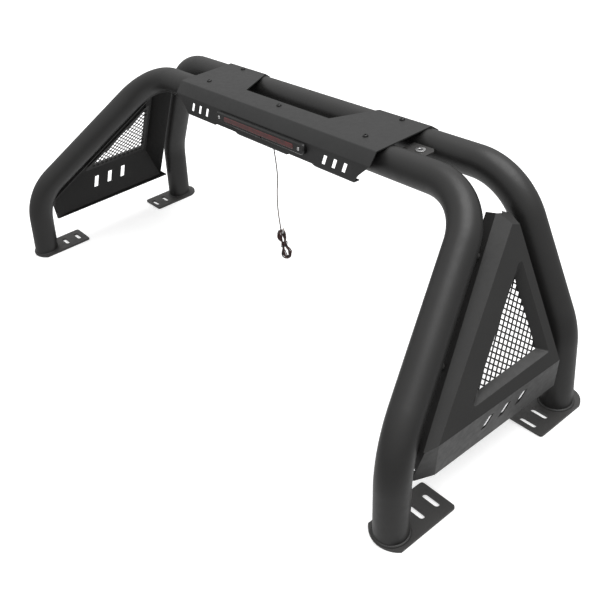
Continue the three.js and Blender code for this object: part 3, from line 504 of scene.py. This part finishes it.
def make_hoop(end):
    half = [rack_point(*corner) for corner in HOOPS[end]]
    corners = [*half, *[Vector((-p.x, p.y, p.z)) for p in reversed(half)]]
    places, directions = bent_line(corners, [mm(r) for r in (LOWER_BEND, UPPER_BEND, UPPER_BEND, LOWER_BEND)])
    bm = bmesh.new()
    floor = mm(PLATE_TOP + GAP)
    outer = tube_rings(bm, places, directions, mm(TUBE_RADIUS), floor)
    inner = tube_rings(bm, places, directions, mm(TUBE_RADIUS - TUBE_WALL), floor)
    for rings in (outer, inner):
        for first, second in zip(rings, rings[1:]):
            bridge(bm, first, second)
    bridge(bm, outer[0], inner[0])
    bridge(bm, outer[-1], inner[-1])
    piece(f"{end}_hoop_tube", bm, FRAME_PAINT, [f"{end}_hoop"])
    for side, sign in (("left", -1), ("right", 1)):
        make_weld(f"{end}_foot_weld_{side}", half, sign)


WELD_RADIUS = 3.4
WELD_RIPPLES = 58
WELD_STEPS = 4 * WELD_RIPPLES
WELD_SPREAD = 1.4  # how much wider than high the bead is
WELD_BURIED = 1  # how far its inner edge lies inside the tube
WELD_UNEVEN = 0.5
WELD_ARC_STEPS = 8


def make_weld(name, half, sign):
    """The fillet weld where a leg stands on its plate: a ring of overlapping ripples, a little uneven."""
    axis = (half[1] - half[0]).normalized()
    bm = bmesh.new()
    rings = []
    for k in range(WELD_STEPS):
        angle = 2 * math.pi * k / WELD_STEPS
        out = Vector((math.cos(angle), math.sin(angle), 0))
        wobble = smooth_noise(out * 2.1 + Vector((sign, half[0].y * 9, 0)))
        ripple = (abs(math.sin(WELD_RIPPLES * angle / 2)) + wobble) * WELD_UNEVEN
        base = half[0] + axis * (mm(PLATE_TOP) - half[0].z) / axis.z
        points = []
        for j in range(WELD_ARC_STEPS + 1):
            lift = math.pi / 2 * j / WELD_ARC_STEPS
            bead = (WELD_RADIUS + WELD_SPREAD + ripple) * math.cos(lift)
            reach = mm(TUBE_RADIUS - WELD_BURIED + bead)
            height = mm((WELD_RADIUS + ripple) * math.sin(lift))
            point = base + out * reach + axis * height
            points.append(Vector((sign * point.x, point.y, point.z)))
        inside = base + out * mm(TUBE_RADIUS - WELD_BURIED)
        points.append(Vector((sign * inside.x, inside.y, base.z)))
        rings.append(ring(bm, points))
    for first, second in zip(rings, rings[1:] + rings[:1]):
        bridge(bm, first, second)
    piece(name, bm, FRAME_PAINT, smooth=math.radians(60))


for hoop_end in HOOPS:
    make_hoop(hoop_end)

# ---------------------------------------------------------------- sheet and plate work

for end in ("rear", "front"):
    for side in ("left", "right"):
        refined(f"{end}_foot_plate_{side}", PLATE_PAINT, 0.9, 3)
refined("top_cover", COVER_PAINT, 0.7, 2)
for side in ("left", "right"):
    refined(f"side_panel_{side}", PANEL_PAINT, 1.2, 3, 14)
    refined(f"mesh_insert_{side}", PANEL_PAINT, 0.45, 2)
    refined(f"bridge_plate_{side}", PLATE_PAINT, 0.7, 3)
    for place in ("upper", "lower"):
        refined(f"panel_standoff_{place}_{side}", PLATE_PAINT, 0.4)
        refined(f"panel_bolt_{place}_{side}", BLACK_STEEL, 0.3)

# ---------------------------------------------------------------- fasteners

COVER_BOLT_PROFILE = [
    (4, -22), (4, 0), (7, 0), (7, 0.9), (6.8, 1.6), (6.2, 2.7), (5.2, 3.7), (4.2, 4.3), (3.4, 4.4),
    (3.1, 4.25), (3.0, 1.4),
]
SOCKET_RINGS = (9, 10)
COVER_BOLTS = ("rear_left", "rear_middle", "rear_right", "front_left", "front_right")
BOLT_LENGTH_MM = 22

for name in COVER_BOLTS:
    node = f"cover_bolt_{name}"
    low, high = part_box(node)
    place = Vector(((low.x + high.x) / 2, (low.y + high.y) / 2, low.z + mm(BOLT_LENGTH_MM)))
    turned(
        f"cover_button_bolt_{name}", COVER_BOLT_PROFILE, place, UPRIGHT, BLACK_STEEL, [node],
        socket=SOCKET_RINGS,
    )

BRIDGE_INSERT_PROFILE = [
    (5.2, -16), (8, -16), (8, 0), (12.1, 0), (12.5, 0.4), (12.5, 1.5), (12, 2), (5.8, 2), (5.2, 1.5),
    (5.2, -16),
]
BRIDGE_INSERT_LENGTH = 16
for side in ("left", "right"):
    node = f"bridge_insert_{side}"
    low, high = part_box(node)
    place = Vector(((low.x + high.x) / 2, (low.y + high.y) / 2, low.z + mm(BRIDGE_INSERT_LENGTH)))
    name = f"bridge_threaded_insert_{side}"
    turned(name, BRIDGE_INSERT_PROFILE, place, UPRIGHT, ZINC, [node])

# ---------------------------------------------------------------- brake light

for node, material, slot, bevel in (
    ("light_housing", HOUSING_PLASTIC, "black_plastic", 0.8),
    ("light_lens", LENS_RED, "red_lens", 0.5),
    ("light_gasket", RUBBER, "rubber", 0.3),
    ("light_board", BOARD, "board", 0.2),
    ("cable_gland", RUBBER, "rubber", 0.4),
    ("lead_tie", TIE_PLASTIC, "tie_plastic", 0.4),
    ("lead_end_sleeve", NYLON, "white_nylon", 0.3),
):
    refined(node, material, bevel)

FACE_LEAN = math.atan2(4.4, 55)  # of the cover's face, out of the upright
FACE_NORMAL = Vector((0, -math.cos(FACE_LEAN), math.sin(FACE_LEAN)))
SCREW_LENGTH = 20
SCREW_HEAD = 2.7
SCREW_PROFILE = [
    (2.5, -20), (2.5, 0), (4.6, 0), (4.6, 0.7), (4.3, 1.5), (3.5, 2.2), (2.2, 2.6), (1.5, 2.65), (1.4, 1.4),
]
for side in ("left", "right"):
    node = f"light_screw_{side}"
    low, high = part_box(node)
    turn = FACE_NORMAL.to_track_quat("Z", "X")
    centre = (low + high) / 2
    place = centre - FACE_NORMAL * mm((SCREW_HEAD - SCREW_LENGTH) / 2)
    turned(f"light_pan_screw_{side}", SCREW_PROFILE, place, turn, ZINC, [node], socket=(7, 8))

for name in COVER_BOLTS:
    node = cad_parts[f"cover_insert_{name}"]
    node.data.materials.clear()
    node.data.materials.append(ZINC)

# ---------------------------------------------------------------- stage and light

# Brightness of the surround against its height: 0 is straight down, 0.5 the horizon and 1 straight up.
WORLD_LEVELS = [(0.02, 0.95), (0.22, 0.8), (0.36, 0.42), (0.48, 0.36), (0.58, 0.5), (0.76, 0.7), (0.98, 0.85)]


FLOOR_GLOW = 0.42  # lifts the floor to a clean white under the soft shadow
FLOOR_SIZE = 30


def make_stage():
    bm = bmesh.new()
    bmesh.ops.create_grid(bm, x_segments=2, y_segments=2, size=FLOOR_SIZE)
    data = bpy.data.meshes.new("floor")
    bm.to_mesh(data)
    bm.free()
    floor = bpy.data.objects.new("floor", data)
    bpy.context.scene.collection.objects.link(floor)
    s = Surface("pale_floor")
    colour = s.ramp(s.noise(3), grey(0.86), grey(0.88))
    glow = {"Emission_Strength": FLOOR_GLOW, "Emission_Color": (1, 1, 1, 1)}
    data.materials.append(s.finish(colour, s.spread(s.noise(5), 0.85, 0.95), **glow))
    floor.visible_diffuse = False  # the floor lends the rack no light, so its lower sides stay dark
    floor.visible_glossy = False


def make_world():
    """Soft studio surround: bright above, dimmer at the sides and dark below."""
    world = bpy.data.worlds.new("studio")
    bpy.context.scene.world = world
    world.use_nodes = True
    nodes, links = world.node_tree.nodes, world.node_tree.links
    direction = nodes.new("ShaderNodeTexCoord").outputs["Generated"]
    split = nodes.new("ShaderNodeSeparateXYZ")
    links.new(direction, split.inputs["Vector"])
    level = nodes.new("ShaderNodeMapRange")
    level.inputs["From Min"].default_value = -1
    links.new(split.outputs["Z"], level.inputs["Value"])
    ramp = nodes.new("ShaderNodeValToRGB")
    for position, value in WORLD_LEVELS:
        element = ramp.color_ramp.elements.new(position)
        element.color = (value, value, value, 1)
    ramp.color_ramp.elements.remove(ramp.color_ramp.elements[0])
    ramp.color_ramp.elements.remove(ramp.color_ramp.elements[-1])
    links.new(level.outputs["Result"], ramp.inputs["Fac"])
    links.new(ramp.outputs["Color"], nodes["Background"].inputs["Color"])


def sun(name, towards, power, angle):
    data = bpy.data.lights.new(name, "SUN")
    data.energy = power
    data.angle = math.radians(angle)
    light = bpy.data.objects.new(name, data)
    light.rotation_mode = "QUATERNION"
    light.rotation_quaternion = Vector(towards).to_track_quat("-Z", "Y")
    bpy.context.scene.collection.objects.link(light)


make_stage()
make_world()
sun("overhead", (-0.1, -0.25, -1), 2.0, 55)
bpy.context.scene.view_settings.view_transform = "Standard"
